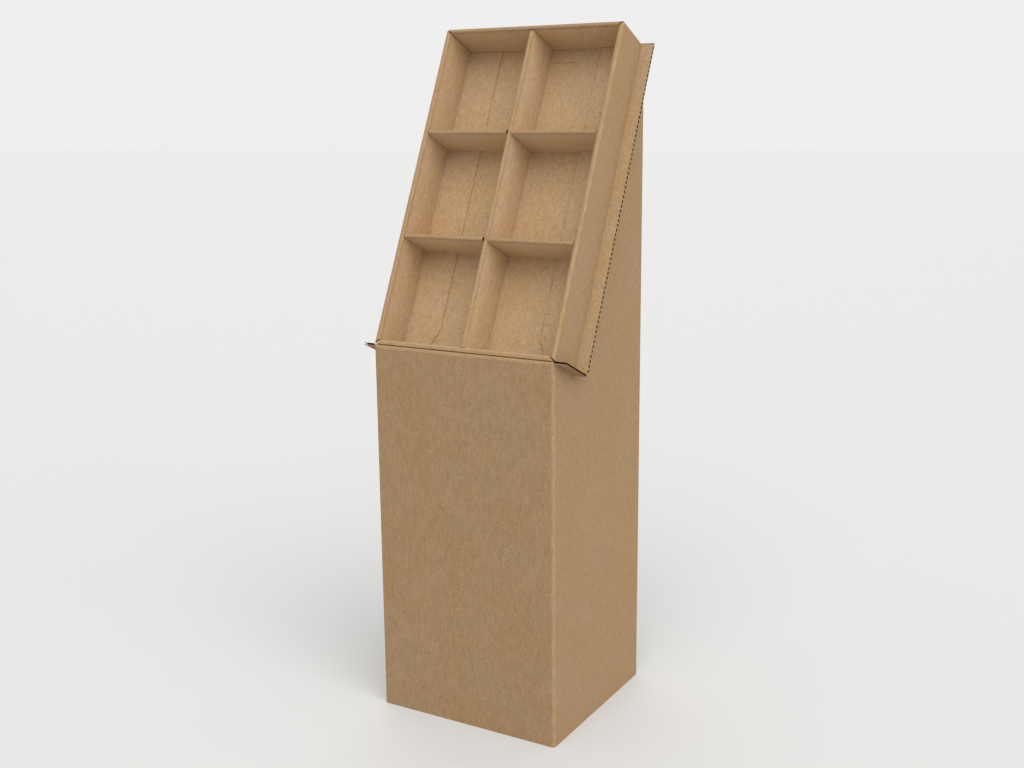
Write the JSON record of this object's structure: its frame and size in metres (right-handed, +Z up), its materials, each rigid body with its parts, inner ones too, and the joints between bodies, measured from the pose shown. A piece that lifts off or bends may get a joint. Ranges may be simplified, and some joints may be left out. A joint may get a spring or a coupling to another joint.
{
  "type": "display stand",
  "caption": "Free-standing floor display of kraft corrugated board: a tall folded base with a steep, open, divided tray on its sloping top.",
  "frame": {"origin": "on the floor, at the middle of the base's footprint", "axes": "+Z up; -Y towards the front panel, which the tray slopes up from; +X across the width"},
  "size_m": [0.451, 0.381, 1.3684],
  "materials": {
    "sleeve_board": "matt kraft liner",
    "tray_board": "matt kraft liner",
    "divider_board": "matt kraft liner"
  },
  "bodies": {
    "root": {"base_sleeve": "sleeve_board", "tray_collar": "tray_board", "long_divider": "divider_board", "cross_divider_1": "divider_board", "cross_divider_2": "divider_board"}
  },
  "joints": []
}
